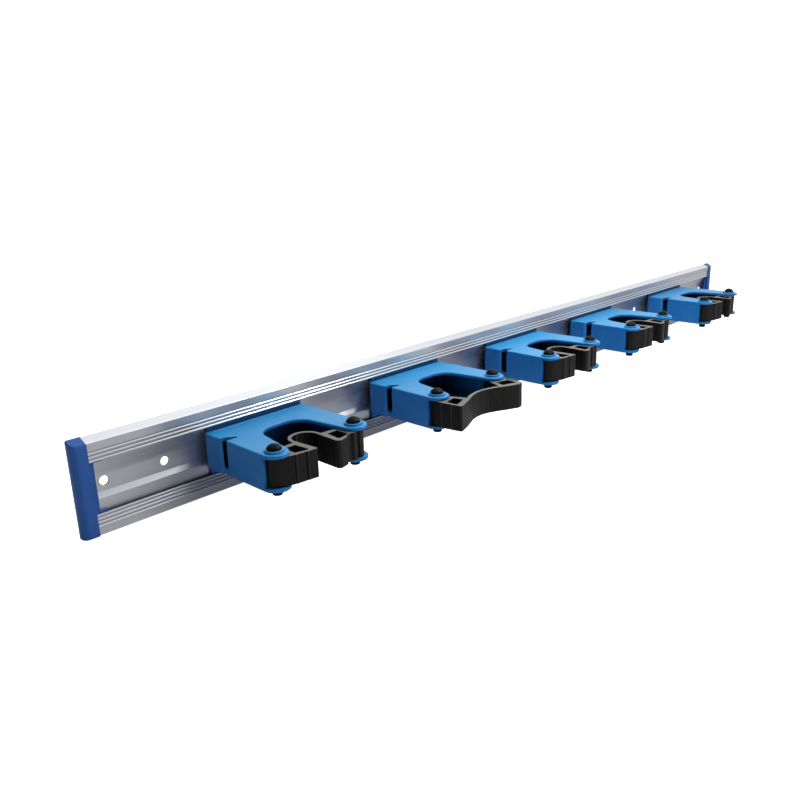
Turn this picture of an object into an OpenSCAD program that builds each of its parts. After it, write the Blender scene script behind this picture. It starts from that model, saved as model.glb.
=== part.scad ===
// Wall rail with five tool holders. Each holder slides along the rail and grips
// a handle between two rubber jaws that are joined by a thin rubber web.
// Frame: X along the rail, Y = 0 on the wall with the holders towards -Y,
// Z up. The origin is on the wall plane, at the middle of the rail's length
// and level with the middle of the holders.

/* [Rail] */
// Length of the aluminium rail without its end caps
rail_l = 900; // [860:1:960]
// Depth of the rail, from the wall to its front face
rail_d = 7.5; // [7:0.1:9]
// Lower edge of the rail below the holders' middle
rail_bottom = 34.0; // [33:0.1:36]
// Height of the front face above the holders' middle
rail_front_top = 29.9; // [29:0.1:32]
// Height at the wall above the holders' middle (the top slopes)
rail_back_top = 33.3; // [32.5:0.1:36]
// How far the channel's middle lies below the holders' middle
channel_low = 1.4; // [0:0.1:1.8]
// Half the height of the channel's mouth, between the lips
mouth = 18.1; // [17.8:0.1:18.6]
// Thickness of the two lips
lip_t = 1.8; // [1.4:0.1:2.0]
// Half the height of the grooves behind the lips
groove = 22.3; // [21.5:0.1:23.5]
// Depth of the raised floors beside the grooves, from the wall
floor_t = 3.4; // [2.8:0.1:3.4]
// Thickness of the web in the middle of the channel
web_t = 1; // [0.9:0.1:2.4]
// Radius of the screw holes in the web
screw_hole_r = 3.1; // [2.5:0.1:4]
// Distance of the outer pair of screw holes from the middle
hole_outer = 439; // [420:0.5:442]
// Distance of the second pair of screw holes from the middle
hole_second = 394.5; // [380:0.5:410]
// Distance of the third pair of screw holes from the middle
hole_third = 259; // [257:0.5:261]

/* [End caps] */
// Length of a cap beyond the end of the rail
cap_l = 10.8; // [8:0.1:14]
// How far a cap stands proud of the rail at its front
cap_proud = 0.6; // [0.2:0.1:1]
// Radius of the cap's outer front corner
cap_r = 4.6; // [2:0.1:6]
// Length of the cap's tongue in the channel
tongue_l = 4.3; // [3:0.1:5]
// Length of the two hooks in the grooves
hook_l = 10; // [8:0.5:14]

/* [Holder body] */
// Place of the first holder along the rail
holder_1_x = -319; // [-322:0.5:-316]
// Place of the second holder along the rail
holder_2_x = -157; // [-160:0.5:-155]
// Place of the third holder along the rail
holder_3_x = -0.5; // [-3:0.5:2]
// Place of the fourth holder along the rail
holder_4_x = 151.5; // [149:0.5:154]
// Place of the fifth holder along the rail
holder_5_x = 327.5; // [325:0.5:330]
// Half the body's height
body_h2 = 13.3; // [13.2:0.1:14]
// Thickness of the top and bottom plates
plate_t = 2.5; // [2.2:0.1:2.5]
// Half the body's width at the rail
body_rear_w2 = 43.2; // [43:0.1:44.5]
// Half the body's width at the front
body_front_w2 = 45.7; // [45.4:0.1:46.8]
// How far the left side reaches out at the rail, behind its slot
body_left_rear = 46; // [45:0.1:46.4]
// Thickness of the side walls
side_t = 2.6; // [2:0.1:2.7]
// Radius of the round arm ends
arm_r = 9.9; // [9.5:0.1:9.9]
// Front end of the side walls, from the wall
side_front = 74; // [70:0.5:74]
// Radius of the boss around each pin
boss_r = 6.7; // [6:0.1:8]
// Height of the boss around each pin
boss_h = 1.5; // [1:0.1:2.5]

/* [Grip] */
// Half the distance between the two pins
pin_x = 35.6; // [35.2:0.1:36]
// Distance of the pins from the wall
pin_y = 74.5; // [74:0.1:75]
// Radius of the pins
pin_r = 3; // [2.5:0.1:3.2]
// Radius of the pins' domed heads
head_r = 5.2; // [4.4:0.1:5.4]
// Height of the domed heads
head_h = 3.9; // [2.5:0.1:4.4]
// Radius of the rubber barrel round a pin
barrel_r = 6.9; // [6.5:0.1:6.9]
// Half the height of the rubber grip
grip_h2 = 10.5; // [10:0.1:10.6]
// Thickness of the rubber web between the jaws
grip_web_t = 2.9; // [2.6:0.1:3.2]
// Angle a jaw turns between closed and open
swing = 75; // [75:1:75]

/* [Hidden] */
$fn = 64;

holder_x = [holder_1_x, holder_2_x, holder_3_x, holder_4_x, holder_5_x];
// the second holder's grip stands open, the others are closed
is_open = [false, true, false, false, false];

rib_z = [20.0, 22.6, 25.2];   // grooves between the ribs, from the channel's middle
rib_w = 1.1;                  // width of a groove
rib_d = 0.7;                  // depth of a groove
bevel_lo = 5.7;                // lower end of the web's flat part, from the channel's middle
bevel_hi = 9.3;                // where the lower raised floor begins
slope_lo = 6.4;                // upper end of the web's flat part
slope_hi = 15.6;               // where the upper raised floor begins, above a long slope
run = 0.06;                   // radial clearance of a jaw on its pin

// the rubber loop between the jaws: half of it turns through turn_closed from
// the symmetry plane to the jaw; open, it is a flat arc whose middle lies at web_open_y
turn_closed = 102.5;
loop_r = 11.2;
loop_y = -63.2;                                     // centre of the closed loop
web_open_y = -89.2;
root = [-loop_r * sin(turn_closed), loop_y + loop_r * cos(turn_closed)];
root_open = [-pin_x + (root[0] + pin_x) * cos(swing) + (root[1] + pin_y) * sin(swing),
             -pin_y - (root[0] + pin_x) * sin(swing) + (root[1] + pin_y) * cos(swing)];
open_drop = web_open_y - root_open[1];
open_r = (root_open[0] * root_open[0] + open_drop * open_drop) / (2 * open_drop);
turn_open = asin(-root_open[0] / open_r);
open_y = web_open_y - open_r;                       // centre of the open arc

blue = [0.24, 0.48, 0.74];
navy = [0.11, 0.24, 0.45];
black = [0.1, 0.1, 0.1];
alu = [0.78, 0.79, 0.81];

// ---------- rail ----------
module along_x(l) { rotate([90, 0, 90]) translate([0, 0, -l / 2]) linear_extrude(l) children(); }

// section of the rail without its channel: first value is Y, second is Z
function section(g = 0) = [[0, -rail_bottom - g], [-rail_d - g, -rail_bottom - g],
  [-rail_d - g, rail_front_top + g * 0.8], [0, rail_back_top + g]];

module rail_profile() {
  lip_back = -(rail_d - lip_t);
  difference() {
    polygon(section());
    // mouth and bevelled floor
    translate([0, -channel_low]) polygon([[-rail_d - 1, -mouth], [-floor_t, -mouth], [-floor_t, -bevel_hi], [-web_t, -bevel_lo],
             [-web_t, slope_lo], [-floor_t, slope_hi], [-floor_t, mouth], [-rail_d - 1, mouth]]);
    // grooves behind the lips
    for (s = [-1, 1]) translate([0, -channel_low]) polygon([[lip_back, s * (mouth - 1)], [lip_back, s * groove],
                               [-floor_t, s * groove], [-floor_t, s * (mouth - 1)]]);
    // fine grooves between the ribs
    for (s = [-1, 1], z = rib_z) translate([0, -channel_low])
      polygon([[-rail_d - 1, s * (z - rib_w / 2)], [-rail_d + rib_d, s * (z - rib_w / 4)],
               [-rail_d + rib_d, s * (z + rib_w / 4)], [-rail_d - 1, s * (z + rib_w / 2)]]);
  }
}

module rail() {
  color(alu) difference() {
    along_x(rail_l) rail_profile();
    for (x = [-hole_outer, -hole_second, -hole_third, hole_third, hole_second, hole_outer])
      translate([x, 1, 0]) rotate([90, 0, 0]) cylinder(h = web_t + 3, r = screw_hole_r);
  }
}

// ---------- end caps ----------
// the left cap; the right one is its mirror image
module end_cap() {
  x0 = -rail_l / 2;
  front = rail_d + cap_proud;
  color(navy) {
    intersection() {
      translate([x0 - cap_l / 2, 0, 0]) along_x(cap_l) polygon(section(cap_proud));
      union() {
        translate([x0 - cap_l + cap_r, -front, -50]) cube([cap_l - cap_r, front, 100]);
        translate([x0 - cap_l, -front + cap_r, -50]) cube([cap_r + 1, front - cap_r, 100]);
        translate([x0 - cap_l + cap_r, -front + cap_r, -50]) cylinder(h = 100, r = cap_r);
      }
    }
    // tongue across the channel
    translate([x0 - 1, -(rail_d - lip_t) + 0.2, -channel_low - mouth + 0.2])
      cube([tongue_l + 1, rail_d - lip_t - floor_t - 0.3, 2 * mouth - 0.4]);
    // hooks in the grooves
    for (s = [-1, 1])
      translate([x0 - 1, -(rail_d - lip_t) + 0.2, -channel_low + s * (groove - 0.3 + 16.9) / 2 - (groove - 0.3 - 16.9) / 2])
      cube([hook_l + 1, rail_d - lip_t - floor_t - 0.3, groove - 0.3 - 16.9]);
  }
}

// ---------- holder body ----------
// half the width at y; the left side is the same in front of its slot only
function side_w(y) = body_rear_w2 + (body_front_w2 - body_rear_w2) * (-y - 5.45) / (pin_y - 5.45);
foot_front = 5.45;   // front face of the foot plate
foot_t = 1.85;
rear_wall = 9.5;     // front face of the body's rear wall
cut_r = 16;          // corners of the U-shaped cut-out
cut_left = 4.6;
cut_right = 5.9;
cut_y = -47;
slot_rear = -26.2;   // rear edge of the slot in the left side
slot_front = -32.2;  // its front edge
left_front = side_w(-side_front);

module plate_outline() {
  difference() {
    union() {
      polygon([[-body_left_rear, -foot_front], [side_w(-foot_front), -foot_front],
               [side_w(-side_front), -side_front], [-left_front, -side_front],
               [-45.2, slot_front + 1], [-body_left_rear + 2.6, slot_rear - 0.8],
               [-body_left_rear, slot_rear + 2.8]]);
      for (s = [-1, 1]) translate([s * pin_x, -pin_y]) circle(r = arm_r);
    }
    translate([-cut_left, cut_y]) circle(r = cut_r);
    translate([cut_right, cut_y]) circle(r = cut_r);
    polygon([[-cut_left, cut_y + cut_r], [cut_right, cut_y + cut_r], [cut_right + cut_r, cut_y],
             [27.9, -90], [-27.9, -90], [-cut_left - cut_r, cut_y]]);
  }
}

module right_wall_outline() {
  polygon([[side_w(-foot_front), -foot_front], [side_w(-side_front), -side_front],
           [side_w(-side_front) - side_t, -side_front], [side_w(-foot_front) - side_t, -foot_front]]);
}

// the left side bends inwards where its slot begins
module left_wall_outline() {
  polygon([[-body_left_rear, -foot_front], [-body_left_rear, slot_rear + 2.8],
           [-body_left_rear + 2.6, slot_rear - 0.8], [-45.2, slot_front + 1], [-left_front, -side_front],
           [-left_front + side_t, -side_front], [-42.5, slot_front + 1], [-body_left_rear + 4.6, slot_rear - 0.8],
           [-body_left_rear + side_t, -20], [-body_left_rear + side_t, -foot_front]]);
}

// upright slot in the left side, open at the side and at the top; below the top plate
// it widens inwards behind its rear lip
module side_slot() {
  translate([0, 0, 9]) linear_extrude(body_h2 - 8)
    polygon([[-50, slot_rear + 0.3], [-43.4, slot_rear + 0.3], [-40.2, slot_rear - 0.2], [-38.2, -29.4],
             [-35.4, -30.3], [-35.0, -32.9], [-36.1, -32.9], [-38.2, slot_front - 0.3], [-50, slot_front - 0.3]]);
  translate([0, 0, -8.7]) linear_extrude(8.7 + body_h2 - plate_t)
    polygon([[-50, slot_rear], [-44, slot_rear], [-42.6, -23.4], [-41.4, -21.6], [-34.4, -21.6],
             [-33, -23], [-33, -33.6], [-36.6, -33.6], [-38.4, slot_front], [-50, slot_front]]);
}

module holder_body(i) {
  color(blue) translate([holder_x[i - 1], 0, 0]) difference() {
    union() {
      translate([0, 0, body_h2 - plate_t]) linear_extrude(plate_t) plate_outline();
      translate([0, 0, -body_h2]) linear_extrude(plate_t) plate_outline();
      translate([0, 0, -body_h2]) linear_extrude(2 * body_h2) right_wall_outline();
      translate([0, 0, -body_h2]) linear_extrude(2 * body_h2) left_wall_outline();
      for (s = [-1, 1]) translate([s * pin_x, -pin_y, body_h2 - 1]) cylinder(h = boss_h + 1, r = boss_r);
      // solid part round the slot
      translate([-43, -36.2, -body_h2 + 1]) cube([12.6, 17.4, 2 * body_h2 - 2]);
      // rear wall and the foot plate that runs behind the lips
      translate([-body_left_rear, -rear_wall, -body_h2])
        cube([body_left_rear + side_w(-foot_front), rear_wall - foot_front, 2 * body_h2]);
      translate([-body_rear_w2 + 0.7, -foot_front, -channel_low - groove + 0.4])
        cube([2 * body_rear_w2 - 1.4, foot_t, 2 * groove - 0.8]);
    }
    side_slot();
    for (s = [-1, 1]) translate([s * pin_x, -pin_y, -20]) cylinder(h = 40, r = pin_r);
  }
}

// ---------- pins ----------
module pivot_pin(i, s) {
  color(black) translate([holder_x[i - 1] + s * pin_x, -pin_y, 0]) {
    // shank with a stepped end under the bottom plate
    translate([0, 0, -body_h2 - 0.5]) cylinder(h = 2 * body_h2 + boss_h + 1, r = pin_r);
    translate([0, 0, -body_h2 - 4.6]) cylinder(h = 4.6, r = pin_r + 0.7);
    // domed head
    translate([0, 0, body_h2 + boss_h]) rotate_extrude() intersection() {
      translate([0, -cap_dome + head_h]) circle(r = cap_dome);
      square([head_r, head_h + 1]);
    }
  }
}
// sphere radius of a dome that is 1.2 mm high at its rim
cap_dome = (head_r * head_r + (head_h - 1.2) * (head_h - 1.2)) / (2 * (head_h - 1.2));

// ---------- grip ----------
// closed left jaw, seen from above
module jaw_outline() {
  in = root + grip_web_t / 2 * [sin(turn_closed), -cos(turn_closed)];
  out = root - grip_web_t / 2 * [sin(turn_closed), -cos(turn_closed)];
  difference() {
    union() {
      translate([-pin_x, -pin_y]) circle(r = barrel_r);
      polygon([[-pin_x, -pin_y - barrel_r], [-12.2, -87.8], [-9.8, -88.0], [-8.4, -86.7],
               in, out, [-13.6, -64.7], [-17.4, -64.9], [-pin_x, -pin_y + barrel_r]]);
    }
    translate([-pin_x, -pin_y]) circle(r = pin_r + run);
    polygon([[-23.4, -69.6], [-24.0, -81.4], [-13.4, -83.8], [-14.8, -69.8]]);
  }
}

module grip_jaw(i, s) {
  color(black) translate([holder_x[i - 1], 0, 0]) mirror([s > 0 ? 1 : 0, 0, 0])
    translate([-pin_x, -pin_y, 0]) rotate([0, 0, is_open[i - 1] ? -swing : 0]) translate([pin_x, pin_y, 0])
      translate([0, 0, -grip_h2]) linear_extrude(2 * grip_h2) jaw_outline();
}

// left half of the web: an arc from the symmetry plane to the jaw
module web_arc(r, turn, yc) {
  translate([0, yc, 0]) rotate([0, 0, 90]) rotate_extrude(angle = turn)
    translate([r - grip_web_t / 2, -grip_h2]) square([grip_web_t, 2 * grip_h2]);
}

module grip_web(i, s) {
  color(black) translate([holder_x[i - 1], 0, 0]) mirror([s > 0 ? 1 : 0, 0, 0])
    if (is_open[i - 1]) web_arc(open_r, turn_open - 0.6, open_y);
    else web_arc(loop_r, turn_closed, loop_y);
}

rail();
end_cap();  // end_cap_left
mirror([1, 0, 0]) end_cap();  // end_cap_right
for (i = [1:5]) {
  holder_body(i);
  grip_jaw(i, -1);
  grip_jaw(i, 1);
  grip_web(i, -1);
  grip_web(i, 1);
  pivot_pin(i, -1);
  pivot_pin(i, 1);
}
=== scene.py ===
"""Visual model of a wall rail with five sliding tool grips.

Frame: X along the rail, Y = 0 on the wall with the grips towards -Y, Z up, in metres.
The shapes below are written in millimetres and scaled where the meshes are made.
"""
import math

import bpy
import bmesh
from mathutils import Matrix, Vector
from mathutils.geometry import tessellate_polygon


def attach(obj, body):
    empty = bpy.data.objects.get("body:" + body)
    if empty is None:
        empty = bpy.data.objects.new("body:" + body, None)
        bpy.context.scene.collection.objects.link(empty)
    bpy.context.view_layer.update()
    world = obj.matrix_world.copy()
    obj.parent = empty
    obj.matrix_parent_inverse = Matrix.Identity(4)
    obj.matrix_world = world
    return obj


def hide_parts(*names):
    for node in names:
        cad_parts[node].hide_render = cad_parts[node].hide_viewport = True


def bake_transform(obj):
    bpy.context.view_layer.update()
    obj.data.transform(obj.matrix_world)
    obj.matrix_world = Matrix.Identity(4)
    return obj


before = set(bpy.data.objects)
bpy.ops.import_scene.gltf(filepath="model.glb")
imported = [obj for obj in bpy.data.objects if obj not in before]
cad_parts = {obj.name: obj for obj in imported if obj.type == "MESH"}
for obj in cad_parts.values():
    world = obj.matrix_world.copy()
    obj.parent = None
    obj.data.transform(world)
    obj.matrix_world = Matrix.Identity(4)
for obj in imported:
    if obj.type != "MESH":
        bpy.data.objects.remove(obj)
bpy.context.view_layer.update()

MM = 0.001
HOLDER_X = [-319.0, -157.0, -0.5, 151.5, 327.5]
OPEN = [False, True, False, False, False]
PIN_X, PIN_Y = 35.6, -74.5
SWING = math.radians(75.0)
CHANNEL = -1.4   # the middle of the rail's channel


# ---------------------------------------------------------------- outlines
def unit(v):
    l = math.hypot(v[0], v[1])
    return (v[0] / l, v[1] / l)


def arc(c, r, a0, a1, step=7.5):
    """Points on an arc from a0 to a1 degrees."""
    n = max(2, int(math.ceil(abs(a1 - a0) / step)))
    return [(c[0] + r * math.cos(math.radians(a0 + (a1 - a0) * k / n)),
             c[1] + r * math.sin(math.radians(a0 + (a1 - a0) * k / n))) for k in range(n + 1)]


def path(pts, step=11.0):
    """Closed outline from (x, y) or (x, y, r) corners; a corner with a radius is rounded."""
    out = []
    n = len(pts)
    for i, p in enumerate(pts):
        r = p[2] if len(p) > 2 else 0.0
        if r <= 0:
            out.append((p[0], p[1]))
            continue
        a, b = pts[i - 1], pts[(i + 1) % n]
        u = unit((a[0] - p[0], a[1] - p[1]))
        v = unit((b[0] - p[0], b[1] - p[1]))
        cosang = max(-1.0, min(1.0, u[0] * v[0] + u[1] * v[1]))
        ang = math.acos(cosang)
        t = r / math.tan(ang / 2)
        m = unit((u[0] + v[0], u[1] + v[1]))
        c = (p[0] + m[0] * r / math.sin(ang / 2), p[1] + m[1] * r / math.sin(ang / 2))
        s0 = (p[0] + u[0] * t, p[1] + u[1] * t)
        s1 = (p[0] + v[0] * t, p[1] + v[1] * t)
        a0 = math.atan2(s0[1] - c[1], s0[0] - c[0])
        a1 = math.atan2(s1[1] - c[1], s1[0] - c[0])
        d = (a1 - a0 + math.pi) % (2 * math.pi) - math.pi
        k = max(2, int(math.ceil(abs(math.degrees(d)) / step)))
        for j in range(k + 1):
            q = a0 + d * j / k
            out.append((c[0] + r * math.cos(q), c[1] + r * math.sin(q)))
    return out


def clean(loop, tol=0.02):
    """Drops points that repeat."""
    out = []
    for p in loop:
        if not out or math.hypot(p[0] - out[-1][0], p[1] - out[-1][1]) > tol:
            out.append(p)
    while len(out) > 1 and math.hypot(out[0][0] - out[-1][0], out[0][1] - out[-1][1]) <= tol:
        out.pop()
    return out


def support(loop, long=2.5, d=0.3):
    """Adds a point near each end of a long straight edge, so that shading stays flat between them."""
    out = []
    n = len(loop)
    for i, p in enumerate(loop):
        q = loop[(i + 1) % n]
        l = math.hypot(q[0] - p[0], q[1] - p[1])
        out.append(p)
        if l > long:
            u = ((q[0] - p[0]) / l, (q[1] - p[1]) / l)
            out.append((p[0] + u[0] * d, p[1] + u[1] * d))
            out.append((q[0] - u[0] * d, q[1] - u[1] * d))
    return out


def area(loop):
    return 0.5 * sum(loop[i - 1][0] * p[1] - p[0] * loop[i - 1][1] for i, p in enumerate(loop))


def inset(loop, d, plane_x=None):
    """Moves the outline by d to its left, which is into the material for a counter-clockwise
    outline and for a clockwise hole. Points on x = plane_x stay on it."""
    if abs(d) < 1e-9:
        return list(loop)
    out = []
    n = len(loop)
    for i, p in enumerate(loop):
        a, b = loop[i - 1], loop[(i + 1) % n]
        u = unit((p[0] - a[0], p[1] - a[1]))
        v = unit((b[0] - p[0], b[1] - p[1]))
        n1, n2 = (-u[1], u[0]), (-v[1], v[0])
        if plane_x is not None and abs(p[0] - plane_x) < 1e-6:
            w = n1 if abs(n1[1]) > abs(n2[1]) else n2
            out.append((p[0], p[1] + d * (1 if w[1] > 0 else -1)))
            continue
        k = 1 + n1[0] * n2[0] + n1[1] * n2[1]
        k = max(k, 0.35)
        out.append((p[0] + d * (n1[0] + n2[0]) / k, p[1] + d * (n1[1] + n2[1]) / k))
    return out


# ---------------------------------------------------------------- meshes
def make(name, bm, mats, angle=32.0):
    bmesh.ops.recalc_face_normals(bm, faces=bm.faces)
    me = bpy.data.meshes.new(name)
    bm.to_mesh(me)
    bm.free()
    for m in mats:
        me.materials.append(m)
    me.shade_smooth()
    me.set_sharp_from_angle(angle=math.radians(angle))
    ob = bpy.data.objects.new(name, me)
    bpy.context.scene.collection.objects.link(ob)
    return ob


def levels(z0, z1, r0, r1, seg=4, sup=0.35):
    """(z, inset) rings of a prism whose two rims are rounded with radii r0 and r1."""
    rings = []
    if r0 > 0:
        rings.append((z0, r0 + sup))
        for k in range(seg + 1):
            a = math.pi / 2 * k / seg
            rings.append((z0 + r0 * (1 - math.cos(a)), r0 * (1 - math.sin(a))))
        rings.append((z0 + r0 + sup, 0.0))
    else:
        rings.append((z0, 0.0))
    if r1 > 0:
        rings.append((z1 - r1 - sup, 0.0))
        for k in range(seg + 1):
            a = math.pi / 2 * (1 - k / seg)
            rings.append((z1 - r1 * (1 - math.cos(a)), r1 * (1 - math.sin(a))))
        rings.append((z1, r1 + sup))
    else:
        rings.append((z1, 0.0))
    return rings


def prism(bm, loops, rings, plane_x=None, place=None):
    """Solid over an outline and its holes. place maps (x, y, z) in mm to a place in mm."""
    loops = [list(l) for l in loops]
    for i, l in enumerate(loops):
        want = 1 if i == 0 else -1
        if area(l) * want < 0:
            l.reverse()
    grid = []
    for z, d in rings:
        ring = []
        for l in loops:
            vs = []
            for x, y in inset(l, d, plane_x):
                q = (x, y, z) if place is None else place(x, y, z)
                vs.append(bm.verts.new((q[0] * MM, q[1] * MM, q[2] * MM)))
            ring.append(vs)
        grid.append(ring)
    for k in range(len(grid) - 1):
        for a, b in zip(grid[k], grid[k + 1]):
            n = len(a)
            for i in range(n):
                bm.faces.new((a[i], a[(i + 1) % n], b[(i + 1) % n], b[i]))
    for ring, flip, (z, d) in ((grid[0], True, rings[0]), (grid[-1], False, rings[-1])):
        if len(ring) == 1:
            f = list(reversed(ring[0])) if flip else ring[0]
            bm.faces.new(f)
            continue
        flat = [v for l in ring for v in l]
        tess = tessellate_polygon([[Vector((p[0], p[1], 0)) for p in inset(l, d, plane_x)] for l in loops])
        for t in tess:
            vs = [flat[i] for i in t]
            try:
                bm.faces.new(vs)
            except ValueError:
                pass
    return bm


def lathe(bm, profile, centre, seg=40):
    """Closed solid of revolution about a vertical line; profile is (r, z), from bottom to top."""
    rings = []
    for r, z in profile:
        if r < 1e-6:
            rings.append([bm.verts.new((centre[0] * MM, centre[1] * MM, z * MM))])
        else:
            rings.append([bm.verts.new(((centre[0] + r * math.cos(2 * math.pi * k / seg)) * MM,
                                        (centre[1] + r * math.sin(2 * math.pi * k / seg)) * MM, z * MM))
                          for k in range(seg)])
    for a, b in zip(rings, rings[1:]):
        for k in range(seg):
            if len(a) == 1 and len(b) > 1:
                bm.faces.new((a[0], b[(k + 1) % seg], b[k]))
            elif len(b) == 1 and len(a) > 1:
                bm.faces.new((a[k], a[(k + 1) % seg], b[0]))
            elif len(a) > 1:
                bm.faces.new((a[k], a[(k + 1) % seg], b[(k + 1) % seg], b[k]))
    return bm


def combine(ob, tool, operation):
    """Boolean of ob with tool, applied; tool is removed."""
    m = ob.modifiers.new("cut", "BOOLEAN")
    m.operation = operation
    m.solver = "EXACT"
    m.object = tool
    bpy.context.view_layer.update()
    me = bpy.data.meshes.new_from_object(ob.evaluated_get(bpy.context.evaluated_depsgraph_get()))
    old = ob.data
    ob.modifiers.clear()
    ob.data = me
    bpy.data.meshes.remove(old)
    old = tool.data
    bpy.data.objects.remove(tool)
    bpy.data.meshes.remove(old)
    return ob


def tidy(ob, angle=32.0):
    """Welds, marks sharp edges and gives large faces their own flat shading."""
    bm = bmesh.new()
    bm.from_mesh(ob.data)
    bmesh.ops.remove_doubles(bm, verts=bm.verts, dist=2e-6)
    bmesh.ops.dissolve_degenerate(bm, edges=bm.edges, dist=1e-6)
    bm.to_mesh(ob.data)
    bm.free()
    ob.data.shade_smooth()
    ob.data.set_sharp_from_angle(angle=math.radians(angle))
    w = ob.modifiers.new("shade", "WEIGHTED_NORMAL")
    w.keep_sharp = True
    w.weight = 80
    bpy.context.view_layer.update()
    me = bpy.data.meshes.new_from_object(ob.evaluated_get(bpy.context.evaluated_depsgraph_get()))
    old = ob.data
    ob.modifiers.clear()
    ob.data = me
    bpy.data.meshes.remove(old)
    return ob


# ---------------------------------------------------------------- materials
class Nodes:
    def __init__(self, name, **sockets):
        self.mat = bpy.data.materials.new(name)
        self.mat.use_nodes = True
        self.tree = self.mat.node_tree
        self.bsdf = self.tree.nodes["Principled BSDF"]
        for k, v in sockets.items():
            self.bsdf.inputs[k.replace("_", " ")].default_value = v
        self.coord = self.tree.nodes.new("ShaderNodeTexCoord").outputs["Object"]

    def link(self, a, b):
        self.tree.links.new(a, b)

    def scaled(self, s):
        m = self.tree.nodes.new("ShaderNodeMapping")
        m.inputs["Scale"].default_value = s
        self.link(self.coord, m.inputs["Vector"])
        return m.outputs["Vector"]

    def noise(self, scale, detail=3.0, rough=0.5, stretch=None):
        n = self.tree.nodes.new("ShaderNodeTexNoise")
        n.inputs["Scale"].default_value = scale
        n.inputs["Detail"].default_value = detail
        n.inputs["Roughness"].default_value = rough
        self.link(self.scaled(stretch) if stretch else self.coord, n.inputs["Vector"])
        return n.outputs["Fac"]

    def span(self, fac, lo, hi, a=0.3, b=0.7):
        m = self.tree.nodes.new("ShaderNodeMapRange")
        m.inputs["From Min"].default_value = a
        m.inputs["From Max"].default_value = b
        m.inputs["To Min"].default_value = lo
        m.inputs["To Max"].default_value = hi
        self.link(fac, m.inputs["Value"])
        return m.outputs["Result"]

    def ramp(self, fac, stops):
        r = self.tree.nodes.new("ShaderNodeValToRGB")
        el = r.color_ramp.elements
        while len(el) > 1:
            el.remove(el[-1])
        el[0].position, el[0].color = stops[0][0], (*stops[0][1], 1.0)
        for p, c in stops[1:]:
            e = el.new(p)
            e.color = (*c, 1.0)
        self.link(fac, r.inputs["Fac"])
        return r.outputs["Color"]

    def mix(self, fac, a, b):
        m = self.tree.nodes.new("ShaderNodeMix")
        m.data_type = "RGBA"
        for src, i in ((fac, 0), (a, 6), (b, 7)):
            if hasattr(src, "is_output"):
                self.link(src, m.inputs[i])
            elif i == 0:
                m.inputs[i].default_value = src
            else:
                m.inputs[i].default_value = (*src, 1.0)
        return m.outputs[2]

    def math(self, op, a, b=None):
        m = self.tree.nodes.new("ShaderNodeMath")
        m.operation = op
        for src, i in ((a, 0), (b, 1)):
            if src is None:
                continue
            if hasattr(src, "is_output"):
                self.link(src, m.inputs[i])
            else:
                m.inputs[i].default_value = src
        return m.outputs[0]

    def bump(self, height, strength, distance):
        b = self.tree.nodes.new("ShaderNodeBump")
        b.inputs["Strength"].default_value = strength
        b.inputs["Distance"].default_value = distance
        self.link(height, b.inputs["Height"])
        self.link(b.outputs["Normal"], self.bsdf.inputs["Normal"])

    def up(self):
        """How far a face looks up, -1 to 1."""
        g = self.tree.nodes.new("ShaderNodeNewGeometry")
        s = self.tree.nodes.new("ShaderNodeSeparateXYZ")
        self.link(g.outputs["Normal"], s.inputs[0])
        return s.outputs["Z"]

    def edge(self):
        """Pointiness of the mesh: above 0.5 on outer edges, below it in corners."""
        g = self.tree.nodes.new("ShaderNodeNewGeometry")
        return g.outputs["Pointiness"]

    def recess(self, reach, local=True):
        """Ambient occlusion, used to paint shade: 0 deep inside a pocket or slot, 1 in the open."""
        a = self.tree.nodes.new("ShaderNodeAmbientOcclusion")
        a.only_local = local
        a.samples = 8
        a.inputs["Distance"].default_value = reach
        return a.outputs["AO"]


def aluminium():
    n = Nodes("drawn_aluminium", Metallic=0.86, Anisotropic=0.65)
    # the drawn surface spreads reflections across the die lines
    tangent = n.tree.nodes.new("ShaderNodeTangent")
    tangent.direction_type = "RADIAL"
    tangent.axis = "X"
    n.link(tangent.outputs["Tangent"], n.bsdf.inputs["Tangent"])
    # die lines run along the rail
    fine = n.noise(1.0, 4.0, 0.65, (6.0, 2600.0, 2600.0))
    broad = n.noise(1.0, 3.0, 0.5, (3.0, 260.0, 260.0))
    cloud = n.noise(14.0, 3.0, 0.5)
    tone = n.math("ADD", n.math("MULTIPLY", fine, 0.45), n.math("ADD", n.math("MULTIPLY", broad, 0.4), n.math("MULTIPLY", cloud, 0.15)))
    metal = n.ramp(tone, [(0.35, (0.57, 0.585, 0.61)), (0.5, (0.61, 0.62, 0.645)), (0.65, (0.65, 0.655, 0.67))])
    # painted shade: the metal darkens towards a dull grey in the floors close to the lips, where ambient occlusion
    # finds them shut in
    n.link(n.mix(n.span(n.recess(0.013), 0.0, 1.0, 0.40, 0.90), (0.30, 0.31, 0.34), metal), n.bsdf.inputs["Base Color"])
    n.link(n.span(tone, 0.30, 0.38), n.bsdf.inputs["Roughness"])
    n.bump(fine, 0.05, 0.00005)
    return n.mat


# top gives upward faces a painted-light colour; deep is the colour of painted shade in recesses
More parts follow.
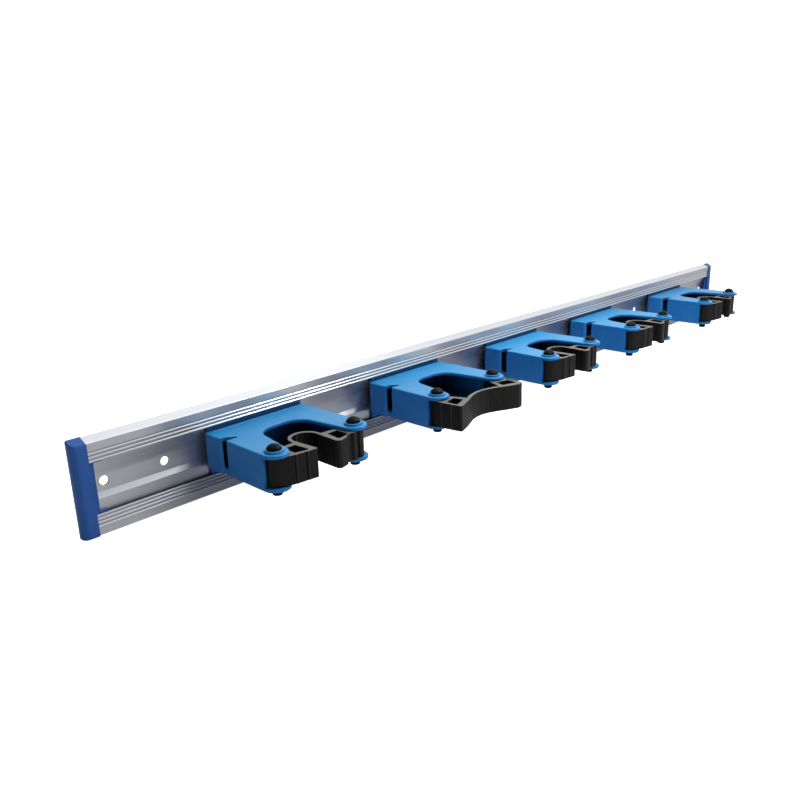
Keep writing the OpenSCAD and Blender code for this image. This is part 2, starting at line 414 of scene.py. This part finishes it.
def plastic(name, dark, base, light, rough=(0.38, 0.52), grain=1500.0, bump=0.12, specular=0.5, top=None,
            deep=None):
    n = Nodes(name, Specular_IOR_Level=specular)
    cloud = n.noise(38.0, 3.0, 0.55)
    speck = n.noise(grain, 2.0, 0.6)
    tone = n.math("ADD", n.math("MULTIPLY", cloud, 0.7), n.math("MULTIPLY", speck, 0.3))
    colour = n.ramp(tone, [(0.3, dark), (0.5, base), (0.7, light)])
    if top:
        # painted light: upper faces are a little paler and more cyan, as faces in bright light look
        painted_top_light = n.ramp(tone, [(0.3, top[0]), (0.7, top[1])])
        colour = n.mix(n.span(n.up(), 0.0, 1.0, 0.35, 0.95), colour, painted_top_light)
    if deep:
        # painted shade inside the pocket, the slot and the gap at the rail, darkening towards the deep colour
        painted_shade_mask = n.math("MINIMUM", n.span(n.recess(0.035), 0.0, 1.0, 0.15, 0.6), n.span(n.recess(0.006, False), 0.0, 1.0, 0.25, 0.82))
        colour = n.mix(painted_shade_mask, deep, colour)
    n.link(colour, n.bsdf.inputs["Base Color"])
    n.link(n.span(cloud, rough[0], rough[1]), n.bsdf.inputs["Roughness"])
    n.bump(speck, bump, 0.00006)
    return n.mat


def rubber():
    n = Nodes("black_rubber", Specular_IOR_Level=0.22)
    cloud = n.noise(60.0, 3.0, 0.6)
    speck = n.noise(2200.0, 2.0, 0.6)
    flow = n.noise(1.0, 3.0, 0.6, (420.0, 420.0, 30.0))
    tone = n.math("ADD", n.math("MULTIPLY", cloud, 0.4), n.math("ADD", n.math("MULTIPLY", flow, 0.4), n.math("MULTIPLY", speck, 0.2)))
    black = n.ramp(tone, [(0.3, (0.0035, 0.0032, 0.0026)), (0.5, (0.0055, 0.005, 0.004)), (0.72, (0.0095, 0.0088, 0.0072))])
    # outer edges are lighter: wear, and a painted edge highlight
    black = n.mix(n.span(n.edge(), 0.0, 0.65, 0.515, 0.58), black, (0.085, 0.080, 0.066))
    # upper rims are paler: bloom and dust, and a painted sheen of the light from above
    dust_and_sheen = n.ramp(tone, [(0.3, (0.13, 0.128, 0.118)), (0.5, (0.19, 0.188, 0.175)), (0.7, (0.25, 0.247, 0.232))])
    top = n.span(n.up(), 0.0, 1.0, 0.55, 0.95)
    n.link(n.mix(top, black, dust_and_sheen), n.bsdf.inputs["Base Color"])
    n.link(n.span(tone, 0.42, 0.6), n.bsdf.inputs["Roughness"])
    n.bump(speck, 0.15, 0.00006)
    return n.mat


def pin_black():
    n = Nodes("black_pin", Specular_IOR_Level=0.08)
    cloud = n.noise(240.0, 3.0, 0.6)
    n.link(n.ramp(cloud, [(0.3, (0.004, 0.005, 0.005)), (0.55, (0.008, 0.008, 0.007)), (0.75, (0.024, 0.019, 0.012))]), n.bsdf.inputs["Base Color"])
    n.link(n.span(cloud, 0.36, 0.5), n.bsdf.inputs["Roughness"])
    n.bump(n.noise(1800.0), 0.06, 0.00005)
    return n.mat


def floor_material():
    n = Nodes("studio_floor", Roughness=0.95, Specular_IOR_Level=0.0, Emission_Color=(1.0, 1.0, 1.0, 1.0), Emission_Strength=1.0)
    cloud = n.noise(1.2, 2.0, 0.5)
    n.link(n.ramp(cloud, [(0.3, (0.86, 0.862, 0.865)), (0.7, (0.875, 0.875, 0.875))]), n.bsdf.inputs["Base Color"])
    return n.mat


def table_material():
    n = Nodes("studio_table", Roughness=0.8, Specular_IOR_Level=0.1)
    cloud = n.noise(1.6, 2.0, 0.5)
    n.link(n.ramp(cloud, [(0.3, (0.66, 0.665, 0.68)), (0.7, (0.68, 0.68, 0.69))]), n.bsdf.inputs["Base Color"])
    return n.mat


def room_material():
    n = Nodes("studio_room", Roughness=1.0, Specular_IOR_Level=0.0, Emission_Color=(1.0, 1.0, 1.0, 1.0), Emission_Strength=1.0)
    cloud = n.noise(0.3, 2.0, 0.5)
    n.link(n.ramp(cloud, [(0.3, (0.80, 0.80, 0.80)), (0.7, (0.82, 0.82, 0.82))]), n.bsdf.inputs["Base Color"])
    return n.mat


ALU = aluminium()
# the blue's top colours are painted light on upward faces, its deep colour painted shade in recesses and at the rail
BLUE = plastic("blue_plastic", (0.013, 0.175, 0.520), (0.016, 0.190, 0.555), (0.020, 0.205, 0.590), rough=(0.30, 0.40),
               specular=0.32, top=((0.013, 0.275, 0.600), (0.024, 0.312, 0.665)),
               deep=(0.003, 0.014, 0.030))
NAVY = plastic("navy_plastic", (0.016, 0.095, 0.370), (0.020, 0.108, 0.405), (0.024, 0.120, 0.440), rough=(0.34, 0.46),
               specular=0.34)
RUBBER = rubber()
BLACK = pin_black()
FLOOR = floor_material()
TABLE = table_material()
ROOM = room_material()


# ---------------------------------------------------------------- rail
def rail_outline():
    """(y, z) of the section, with rounded ribs."""
    up = []
    front = -7.5

    def groove(z, sign):
        # the wall below each groove slopes out, the wall above it is steep
        e = [(front, z - 1.05, 0.45), (front + 0.9, z, 0.1),
             (front + 0.9, z + 0.25, 0.1), (front + 0.2, z + 0.4, 0.15)]
        return e if sign > 0 else e[::-1]

    c = CHANNEL
    pts = [(0.0, -34.0, 0.35), (front, -34.0, 0.7)]
    for z in (-25.2, -22.6, -20.0):
        pts += groove(c + z, 1)
    pts += [(front, c - 18.1, 0.5), (-5.7, c - 18.1, 0.3), (-5.7, c - 22.3, 0.3), (-3.4, c - 22.3, 0.3),
            (-3.4, c - 9.3, 0.8), (-1.0, c - 5.7, 0.8), (-1.0, c + 6.4, 9.0), (-3.4, c + 15.6, 4.0),
            (-3.4, c + 22.3, 0.3), (-5.7, c + 22.3, 0.3), (-5.7, c + 18.1, 0.3), (front, c + 18.1, 0.5)]
    for z in (20.0, 22.6, 25.2):
        pts += groove(c + z, 1)
    pts += [(front, 29.9, 0.55), (0.0, 33.3, 0.4)]
    return support(clean(path(pts, 22.0)), 1.6, 0.15)


def build_rail():
    bm = bmesh.new()
    prism(bm, [rail_outline()], [(-450.0, 0.0), (450.0, 0.0)], place=lambda y, z, x: (x, y, z))
    ob = make("rail_visual", bm, [ALU])
    for x in (-439.0, -394.5, -259.0, 259.0, 394.5, 439.0):
        t = bmesh.new()
        lathe(t, [(0, -9.0), (3.4, -9.0), (3.4, -1.05), (3.2, -0.85), (3.1, -0.5), (3.1, 2.0), (0, 2.0)], (0, 0), 48)
        t.transform(Matrix.Translation((x * MM, 0, 0)) @ Matrix.Rotation(math.radians(-90), 4, "X"))
        cutter = make("cut", t, [ALU])
        combine(ob, cutter, "DIFFERENCE")
    tidy(ob)
    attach(ob, "rail")
    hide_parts("rail")
    return ob


# ---------------------------------------------------------------- end caps
def build_cap(side):
    """side -1 is the left cap, 1 the right."""
    front, bottom = -8.1, -34.6
    x0, x1 = -460.8, -450.0
    outline = path([(x1, 0.0), (x0, 0.0, 1.6), (x0, front, 4.6), (x1, front)], 9.0)
    outline = support(clean(outline), 3.5, 1.45)
    slope = (33.9 - 30.38) / 8.1

    def place(x, y, z):
        # z runs 0..1 near the ends in mm from bottom or top
        if z < 0:
            return (x, y, bottom + (z + 1000.0))
        return (x, y, 33.9 + y * slope - (1000.0 - z))
    rings = []
    r, seg = 1.0, 5
    rings.append((-1000.0, r + 0.35))
    for k in range(seg + 1):
        a = math.pi / 2 * k / seg
        rings.append((-1000.0 + r * (1 - math.cos(a)), r * (1 - math.sin(a))))
    rings.append((-1000.0 + r + 0.4, 0.0))
    rings.append((1000.0 - r - 0.4, 0.0))
    for k in range(seg + 1):
        a = math.pi / 2 * (1 - k / seg)
        rings.append((1000.0 - r * (1 - math.cos(a)), r * (1 - math.sin(a))))
    rings.append((1000.0, r + 0.35))
    bm = bmesh.new()
    prism(bm, [outline], rings, place=place)
    ob = make("cap", bm, [NAVY])
    # tongue across the channel and two hooks that run on in the grooves
    t = bmesh.new()
    tongue = path([(-451.0, -3.6), (-451.0, -5.5), (-446.2, -5.5, 0.7), (-446.2, -3.6, 0.6)])
    prism(t, [support(clean(tongue), 1.5, 0.2)], levels(CHANNEL - 17.9, CHANNEL + 17.9, 0.35, 0.35, 3, 0.15))
    combine(ob, make("tongue", t, [NAVY]), "UNION")
    for s in (-1, 1):
        t = bmesh.new()
        hook = path([(-451.0, -3.6), (-451.0, -5.5), (-440.6, -5.5, 0.7), (-440.6, -3.6, 0.6)])
        z = sorted((CHANNEL + s * 16.9, CHANNEL + s * 22.0))
        prism(t, [support(clean(hook), 1.5, 0.2)], levels(z[0], z[1], 0.35, 0.35, 3, 0.15))
        combine(ob, make("hook", t, [NAVY]), "UNION")
    if side > 0:
        ob.data.transform(Matrix.Scale(-1, 4, (1, 0, 0)))
        ob.data.flip_normals()
    tidy(ob)
    name = "end_cap_left" if side < 0 else "end_cap_right"
    ob.name = name + "_visual"
    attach(ob, "rail")
    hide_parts(name)
    return ob


# ---------------------------------------------------------------- holder body
ARM_R = 9.95


def side_x(y):
    """Half width of the body at y."""
    t = (-y - 5.45) / (74.1 - 5.45)
    return 43.2 + (45.54 - 43.2) * t


def body_outline():
    """Outline of the two plates: a U between the arms; the left side bends inwards at its slot."""
    def half(corner, rear):
        u = path([(0.0, -31.0), (corner, -31.0, 16.0), (25.80, -76.24), (0.0, -76.24)], 7.5)
        u = [p for p in u if p[0] > 1e-6 and p[1] > -76.0]
        return u + arc((PIN_X, PIN_Y), ARM_R, 190.1, 362.0, 7.5) + rear
    right = half(19.06, path([(43.2, -40.0), (43.2, -5.45, 1.8), (0.0, -5.45)], 11.0)[1:-1])
    left = half(17.76, path([(45.5, -74.0), (45.2, -31.2), (43.4, -27.0), (46.0, -23.4, 3.2), (46.0, -5.45, 3.4),
                             (0.0, -5.45)], 11.0)[1:-1])
    return clean(right + [(-x, y) for x, y in reversed(left)])


def build_body_mesh():
    outline = support(body_outline(), 4.0, 0.4)
    bm = bmesh.new()
    prism(bm, [outline], levels(-13.3, 13.3, 1.15, 1.15, 4, 0.35))
    ob = make("holder", bm, [BLUE])
    # the pocket between the plates, open at the front
    xr, xf = side_x(-9.5) - 2.6, side_x(-74.0) - 2.6
    pocket = path([(-xr, -9.5, 1.5), (xr, -9.5, 1.5), (xf, -73.9), (60.0, -73.9), (60.0, -95.0),
                   (-60.0, -95.0), (-60.0, -73.9), (-xf, -73.9)], 15.0)
    t = bmesh.new()
    prism(t, [clean(pocket)], levels(-10.8, 10.8, 0.7, 0.7, 3, 0.3))
    combine(ob, make("pocket", t, [BLUE]), "DIFFERENCE")
    # solid part round the slot in the left side
    t = bmesh.new()
    block = path([(-43.0, -36.2), (-30.4, -36.2, 0.8), (-30.4, -18.8, 0.8), (-43.0, -18.8)], 30.0)
    prism(t, [clean(block)], [(-12.3, 0.0), (12.3, 0.0)])
    combine(ob, make("block", t, [BLUE]), "UNION")
    # the slot is open at the side and at the top, and widens inwards behind its rear lip
    x = side_x(-32.2) + 0.75
    edge = [(x - 0.8 + 0.8 * math.cos(math.radians(q)), -33.0 + 0.8 * math.sin(math.radians(q)))
            for q in range(90, 11, -13)]
    deep = [(50.0, -26.2), (44.0, -26.2), (42.6, -23.4), (41.4, -21.6, 0.6), (34.4, -21.6, 0.8), (33.0, -23.0, 0.6),
            (33.0, -33.6, 0.6), (36.6, -33.6, 0.4), (38.4, -32.2)] + edge + [(x + 0.02, -33.0), (50.0, -33.0)]
    t = bmesh.new()
    prism(t, [clean(path([(-c[0],) + tuple(c[1:]) for c in deep], 22.0), 0.05)], [(-8.7, 0.0), (10.8, 0.0)])
    combine(ob, make("slot", t, [BLUE]), "DIFFERENCE")
    notch = [(50.0, -25.9), (43.4, -25.9), (40.2, -26.4, 0.5), (38.6, -28.9, 0.4), (35.4, -30.3, 0.3), (35.0, -32.9, 0.3),
             (36.1, -32.9, 0.3), (37.4, -32.3, 0.3), (39.0, -32.5)] + [(a, b - 0.3) for a, b in edge] + [(x + 0.02, -33.4), (50.0, -33.4)]
    t = bmesh.new()
    prism(t, [clean(path([(-c[0],) + tuple(c[1:]) for c in notch], 22.0), 0.05)], [(9.0, 0.0), (16.0, 0.0)])
    combine(ob, make("notch", t, [BLUE]), "DIFFERENCE")
    # the small raised nib beside it
    t = bmesh.new()
    lathe(t, [(0, 11.4), (1.3, 11.4), (1.3, 13.25), (1.15, 13.6), (0.75, 13.85), (0, 13.95)], (-38.3, -28.6), 20)
    combine(ob, make("nib", t, [BLUE]), "UNION")
    # faint raised mould lines on the side
    for y, w, z0, z1 in ((-64.0, 0.9, -9.0, 3.0), (-61.0, 0.7, -6.0, 6.0), (-48.0, 0.9, -8.0, 4.0)):
        q = side_x(y)
        t = bmesh.new()
        prism(t, [[(-q - 0.12, y), (-q + 0.4, y - w), (-q + 0.4, y + w)]], [(z0, 0.0), (z1, 0.0)])
        combine(ob, make("line", t, [BLUE]), "UNION")
    for s in (-1, 1):
        # boss round the pin
        t = bmesh.new()
        lathe(t, [(0, 12.0), (7.0, 12.0), (7.0, 13.35), (6.8, 13.6), (6.7, 14.1), (6.55, 14.55), (6.2, 14.78), (5.8, 14.8),
                  (0, 14.8)], (s * PIN_X, PIN_Y), 48)
        combine(ob, make("boss", t, [BLUE]), "UNION")
        # a bore for the pin through both plates
        t = bmesh.new()
        lathe(t, [(0, -20.0), (3.0, -20.0), (3.0, 20.0), (0, 20.0)], (s * PIN_X, PIN_Y), 40)
        combine(ob, make("bore", t, [BLUE]), "DIFFERENCE")
    # bead along the rear of the top plate and its copy below
    for z in (12.98, -12.98):
        t = bmesh.new()
        ring = arc((0, 0), 0.75, 0, 345, 15.0)
        prism(t, [ring], levels(-41.6, 41.6, 0.25, 0.25, 2, 0.1), place=lambda a, b, c, z=z: (c, -9.3 + a, z + b))
        combine(ob, make("bead", t, [BLUE]), "UNION")
    # foot plate that runs behind the rail's lips
    t = bmesh.new()
    foot = path([(42.5, -3.6, 0.85), (-42.5, -3.6, 0.85), (-42.5, -5.9), (42.5, -5.9)], 30.0)
    prism(t, [support(clean(foot), 1.5, 0.2)], levels(CHANNEL - 21.9, CHANNEL + 21.9, 0.5, 0.5, 3, 0.2))
    combine(ob, make("foot", t, [BLUE]), "UNION")
    tidy(ob)
    return ob


def build_holders():
    master = build_body_mesh()
    for i, hx in enumerate(HOLDER_X, 1):
        me = master.data.copy()
        me.transform(Matrix.Translation((hx * MM, 0, 0)))
        ob = bpy.data.objects.new("holder_%d_visual" % i, me)
        bpy.context.scene.collection.objects.link(ob)
        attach(ob, "holder_%d" % i)
        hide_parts("holder_body_%d" % i)
    old = master.data
    bpy.data.objects.remove(master)
    bpy.data.meshes.remove(old)


# ---------------------------------------------------------------- pins
def pin_profile():
    z0 = 14.8
    dome = []
    # a dome 2.7 mm high above a rim 1.2 mm high
    R = (5.2 ** 2 + 2.7 ** 2) / (2 * 2.7)
    top = z0 + 3.9
    for k in range(0, 9):
        r = 4.95 * (1 - k / 8)
        dome.append((r, top - R + math.sqrt(R * R - r * r)))
    low = [(0, -17.9), (2.4, -17.9), (3.15, -17.75), (3.55, -17.4), (3.7, -16.9), (3.7, -14.1), (3.6, -13.7),
           (3.4, -13.35), (3.0, -13.3), (3.0, 14.8), (4.9, 14.82), (5.12, 14.95), (5.2, 15.2), (5.2, 15.75), (5.12, 16.0)]
    return low + dome


def build_pins():
    for i, hx in enumerate(HOLDER_X, 1):
        for side, s in (("left", -1), ("right", 1)):
            bm = bmesh.new()
            lathe(bm, pin_profile(), (hx + s * PIN_X, PIN_Y), 44)
            ob = make("pin_%s_%d_visual" % (side, i), bm, [BLACK], 50.0)
            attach(ob, "holder_%d" % i)
            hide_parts("pivot_pin_%s_%d" % (side, i))


# ---------------------------------------------------------------- rubber
T = 2.9          # thickness of the web
LOOP_R, LOOP_Y, TURN = 11.2, -63.2, 102.5
WEB_OPEN_Y = -89.2


def groove_in(p, q, at, width, depth):
    """Points of a shallow groove in the edge from p to q, at a distance from p; the material is on the left."""
    u = unit((q[0] - p[0], q[1] - p[1]))
    n = (-u[1], u[0])
    e = []
    for s, d in ((-0.5, 0.0), (-0.22, 1.0), (0.22, 1.0), (0.5, 0.0)):
        e.append((p[0] + u[0] * (at + s * width) + n[0] * depth * d, p[1] + u[1] * (at + s * width) + n[1] * depth * d))
    return e


def grooved(line, ats, width, depth):
    """The line with shallow grooves at distances from its end; the material is on the left."""
    total = [0.0]
    for a, b in zip(line, line[1:]):
        total.append(total[-1] + math.hypot(b[0] - a[0], b[1] - a[1]))
    marks = [total[-1] - a for a in ats]

    def place(t, d):
        k = 0
        while k < len(line) - 2 and total[k + 1] < t:
            k += 1
        u = unit((line[k + 1][0] - line[k][0], line[k + 1][1] - line[k][1]))
        q = t - total[k]
        return (line[k][0] + u[0] * q - u[1] * d, line[k][1] + u[1] * q + u[0] * d)
    keyed = [(t, p) for t, p in zip(total, line) if all(abs(t - m) > width * 0.5 + 0.12 for m in marks)]
    for m in marks:
        for f, d in ((-0.5, 0.0), (-0.2, 1.0), (0.2, 1.0), (0.5, 0.0)):
            if m + f * width < total[-1]:
                keyed.append((m + f * width, place(m + f * width, d * depth)))
        if m > total[-1] - 0.01:
            keyed.append((m, (line[-1][0], line[-1][1] + depth)))
    return [p for t, p in sorted(keyed)]


def turn_point(p, ang):
    """Turns a point of the closed left jaw about its pin, clockwise when it opens."""
    c, s = math.cos(-ang), math.sin(-ang)
    dx, dy = p[0] + PIN_X, p[1] - PIN_Y
    return (-PIN_X + dx * c - dy * s, PIN_Y + dx * s + dy * c)


def jaw_part(stepped):
    """Outline of the closed left jaw from its rear edge at the web, round the barrel and along the
    front face to the tip and up the grip face, without the web. A stepped jaw has a thick rounded
    block at its tip and a face set back behind it."""
    rear = path([(-10.0, -60.0), (-13.3, -64.9, 0.5), (-17.4, -65.3, 3.0), (-34.9, -67.64), (-60.0, -67.0)], 14.0)[1:-2]
    # the plain jaw's face bends where its first ridge stands
    p = (-37.30, -81.19) if stepped else (-27.4, -84.7)
    q = (-9.2, -88.35) if stepped else (-7.95, -86.95)
    u = unit((q[0] - p[0], q[1] - p[1]))
    n = (-u[1], u[0])
    l = math.hypot(q[0] - p[0], q[1] - p[1])

    def on(at, back=0.0):
        return (p[0] + u[0] * at + n[0] * back, p[1] + u[1] * at + n[1] * back)
    if stepped:
        # two broad upright ribs with a groove beside each
        barrel = arc((-PIN_X, PIN_Y), 6.9, 84.0, 236.0, 8.0)
        for k, r in ((242, 6.98), (248, 7.08), (254, 7.1), (260, 7.1), (266, 7.1), (271, 7.05), (275, 6.8), (278, 6.3), (282, 5.95)):
            barrel.append((-PIN_X + r * math.cos(math.radians(k)), PIN_Y + r * math.sin(math.radians(k))))
        front = path([barrel[-1], on(4.9, 1.6) + (0.4,), on(5.9, 0.2) + (0.7,), on(9.8, 0.2) + (0.7,), on(10.9, 2.0) + (0.4,),
                      on(l - 11.9, 1.9) + (0.5,), on(l - 10.6) + (0.9,), q, on(l + 9.0, 4.0)], 18.0)[1:-2]
        tip = path([front[-1], (q[0], q[1], 3.0), (-9.55, -65.31)], 12.0)[1:-1]
        return rear, barrel, front, tip
    barrel = arc((-PIN_X, PIN_Y), 6.9, 84.0, 251.5, 8.0)
    front = []
    # upright ridges with a groove beside each
    for at, before in ((0.9, barrel[-1]), (10.1, on(6.1))):
        front += path([before, on(at - 0.9) + (0.2,), on(at - 0.5, 0.5) + (0.2,), on(at - 0.1, 0.45) + (0.2,),
                       on(at + 0.2, -0.5) + (0.2,), on(at + 1.2, -0.45) + (0.25,), on(at + 1.9) + (0.2,), on(at + 4.0)], 30.0)[1:-1]
    tip = path([front[-1], (q[0], q[1], 1.5), (-9.55, -65.31)], 12.0)[1:-1]
    return rear, barrel, front, tip


def rubber_outline(is_open, stepped):
    """Left half of the rubber moulding: jaw and half web. x = 0 is the plane of symmetry."""
    rear, barrel, front, tip = jaw_part(stepped)
    jaw = rear + barrel + front + tip
    a0, a1 = 90.0, 90.0 + TURN
    if not is_open:
        outer = arc((0, LOOP_Y), LOOP_R + T / 2, a0, a1 - 4.0, 5.0)
        inner = arc((0, LOOP_Y), LOOP_R - T / 2, a1, a0, 5.0)
        grip = [tip[-1], inner[0]]
        face = []
        l = math.hypot(grip[1][0] - grip[0][0], grip[1][1] - grip[0][1])
        for at in (1.2, 5.2, 10.4, 17.6):
            if at < l - 1:
                face += groove_in(grip[0], grip[1], at, 0.7, 0.22)
        loop = outer + jaw + face + inner
    else:
        turned = [turn_point(p, SWING) for p in jaw]
        # the band's front face runs on in one curve from the tip to the middle
        t_end = turned[-1]
        front_face = curve([t_end, (-36.0, -103.0), (-30.0, -100.7), (-25.0, -98.6), (-20.0, -96.3), (-15.0, -94.0),
                            (-10.0, -92.1), (-5.0, -90.9), (0.0, -90.5)])
        rear_face = curve([(0.0, -87.35), (-5.0, -87.75), (-10.0, -88.8), (-15.0, -90.3), (-18.6, -91.7)])
        loop = rear_face + turned + grooved(front_face, (0.0, 10.7, 22.5, 30.0, 35.0), 0.95, 0.32)[1:]
    loop = clean(loop, 0.03)
    hollow = path([(-23.4, -69.6, 1.2), (-24.0, -81.4, 1.4), (-13.4, -83.8, 1.4), (-14.8, -69.8, 1.2)], 18.0)
    bore = arc((-PIN_X, PIN_Y), 3.06, 0, 352.5, 7.5)
    if is_open:
        hollow = [turn_point(p, SWING) for p in hollow]
    return loop, [hollow, bore]


def curve(pts, n=5):
    """Smooth points through pts (Catmull-Rom)."""
    out = []
    for i in range(len(pts) - 1):
        p0 = pts[max(i - 1, 0)]
        p1, p2 = pts[i], pts[i + 1]
        p3 = pts[min(i + 2, len(pts) - 1)]
        for k in range(n):
            t = k / n
            out.append(tuple(0.5 * (2 * p1[j] + (p2[j] - p0[j]) * t + (2 * p0[j] - 5 * p1[j] + 4 * p2[j] - p3[j]) * t * t
                                    + (3 * p1[j] - p0[j] - 3 * p2[j] + p3[j]) * t ** 3) for j in (0, 1)))
    out.append(pts[-1])
    return out


def build_rubber():
    for i, hx in enumerate(HOLDER_X, 1):
        op = OPEN[i - 1]
        for side, s in (("left", -1), ("right", 1)):
            loop, holes = rubber_outline(op, s > 0)
            bm = bmesh.new()
            prism(bm, [support(loop, 3.0, 0.5)] + holes, levels(-10.5, 10.5, 0.4, 0.4, 3, 0.15), plane_x=0.0)
            if s > 0:
                bmesh.ops.transform(bm, matrix=Matrix.Scale(-1, 4, (1, 0, 0)), verts=bm.verts)
                bmesh.ops.reverse_faces(bm, faces=bm.faces)
            bmesh.ops.translate(bm, verts=bm.verts, vec=(hx * MM, 0, 0))
            ob = make("rubber_%s_%d_visual" % (side, i), bm, [RUBBER], 40.0)
            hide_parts("grip_jaw_%s_%d" % (side, i), "grip_web_%s_%d" % (side, i))
            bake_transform(ob)


# ---------------------------------------------------------------- stage, light, camera
def build_stage():
    # a plain floor, and a plain white room far outside the view; neither throws light on the object
    bm = bmesh.new()
    floor_z = -34.7 * MM
    centre = bm.verts.new((0, 0, floor_z))
    last = None
    first = None
    k = 72
    for r in (0.8, 1.6, 3.0, 6.0, 12.0):
        ring = [bm.verts.new((r * math.cos(2 * math.pi * i / k), r * math.sin(2 * math.pi * i / k), floor_z)) for i in range(k)]
        for i in range(k):
            if last is None:
                bm.faces.new((centre, ring[i], ring[(i + 1) % k]))
            else:
                bm.faces.new((last[i], ring[i], ring[(i + 1) % k], last[(i + 1) % k]))
        last = ring
    floor = make("studio_floor", bm, [FLOOR])
    # the table below it is only seen in reflections and throws light back up
    bm = bmesh.new()
    bmesh.ops.create_circle(bm, cap_ends=True, segments=72, radius=3.0)
    bmesh.ops.translate(bm, verts=bm.verts, vec=(0, 0, floor_z - 0.00005))
    table = make("studio_table", bm, [TABLE])
    table.visible_camera = False
    table.visible_shadow = False
    floor.visible_shadow = False
    bm = bmesh.new()
    bmesh.ops.create_icosphere(bm, subdivisions=4, radius=12.5)
    room = make("studio_room", bm, [ROOM])
    for ob in (floor, room):
        ob.visible_diffuse = False
        ob.visible_glossy = False
        ob.visible_transmission = False
    room.visible_shadow = False


def area_light(name, place, target, size, power, colour=(1, 1, 1)):
    d = bpy.data.lights.new(name, "AREA")
    d.shape = "RECTANGLE"
    d.size, d.size_y = size
    d.energy = power
    d.color = colour
    ob = bpy.data.objects.new(name, d)
    bpy.context.scene.collection.objects.link(ob)
    ob.location = place
    ob.rotation_euler = (Vector(target) - Vector(place)).to_track_quat("-Z", "Y").to_euler()
    return ob


def build_light():
    area_light("key", (0.25, -0.10, 1.8), (0.0, -0.05, 0.0), (1.0, 1.0), 5.6)
    near = area_light("near", (0.04, -0.20, 0.43), (0.02, -0.05, 0.0), (0.10, 0.08), 1.42)
    near.visible_camera = False
    w = bpy.data.worlds.new("studio")
    bpy.context.scene.world = w
    w.use_nodes = True
    t = w.node_tree
    bg = t.nodes["Background"]
    co = t.nodes.new("ShaderNodeTexCoord").outputs["Generated"]

    def soft(axis, a, b, gain=1.0):
        """Rises smoothly with the direction's part along an axis, from a to b."""
        d = t.nodes.new("ShaderNodeVectorMath")
        d.operation = "DOT_PRODUCT"
        d.inputs[1].default_value = Vector(axis).normalized()
        t.links.new(co, d.inputs[0])
        m = t.nodes.new("ShaderNodeMapRange")
        m.interpolation_type = "SMOOTHSTEP"
        m.inputs["From Min"].default_value = a
        m.inputs["From Max"].default_value = b
        m.inputs["To Min"].default_value = 0.0
        m.inputs["To Max"].default_value = gain
        t.links.new(d.outputs["Value"], m.inputs["Value"])
        return m.outputs["Result"]

    def join(op, x, y):
        m = t.nodes.new("ShaderNodeMath")
        m.operation = op
        for v, i in ((x, 0), (y, 1)):
            if isinstance(v, float):
                m.inputs[i].default_value = v
            else:
                t.links.new(v, m.inputs[i])
        return m.outputs[0]

    # the room is brightest on the right above the horizon and dim on the left
    side = join("MULTIPLY", soft((1, 0, 0), -0.1, 0.75), soft((0, 0, 1), -0.85, 0.30, 1.0))
    total = join("ADD", join("ADD", side, 0.18), soft((0, 0, 1), 0.0, 0.9, 0.12))
    bg.inputs["Color"].default_value = (0.96, 0.98, 1.0, 1.0)
    t.links.new(total, bg.inputs["Strength"])


def build_camera():
    cam = bpy.data.cameras.new("camera")
    ob = bpy.data.objects.new("camera", cam)
    bpy.context.scene.collection.objects.link(ob)
    right = Vector((0.69224969, -0.72104596, -0.02971677))
    down = Vector((-0.23732201, -0.18856967, -0.95295317))
    ahead = Vector((0.68151935, 0.66673398, -0.30165738))
    m = Matrix((right, -down, -ahead)).transposed().to_4x4()
    m.translation = Vector((-0.651855, -0.488150, 0.204368))
    ob.matrix_world = m
    cam.sensor_width = 36.0
    cam.sensor_fit = "HORIZONTAL"
    cam.lens = 36.0 * 808.8006 / 800.0
    cam.shift_x = (400.0 - 405.2106) / 800.0
    cam.shift_y = (400.5492 - 400.0) / 800.0
    cam.clip_start = 0.01
    cam.clip_end = 50.0
    bpy.context.scene.camera = ob


build_rail()
build_cap(-1)
build_cap(1)
build_holders()
build_pins()
build_rubber()
build_stage()
build_light()
build_camera()
bpy.context.scene.view_settings.view_transform = "Standard"
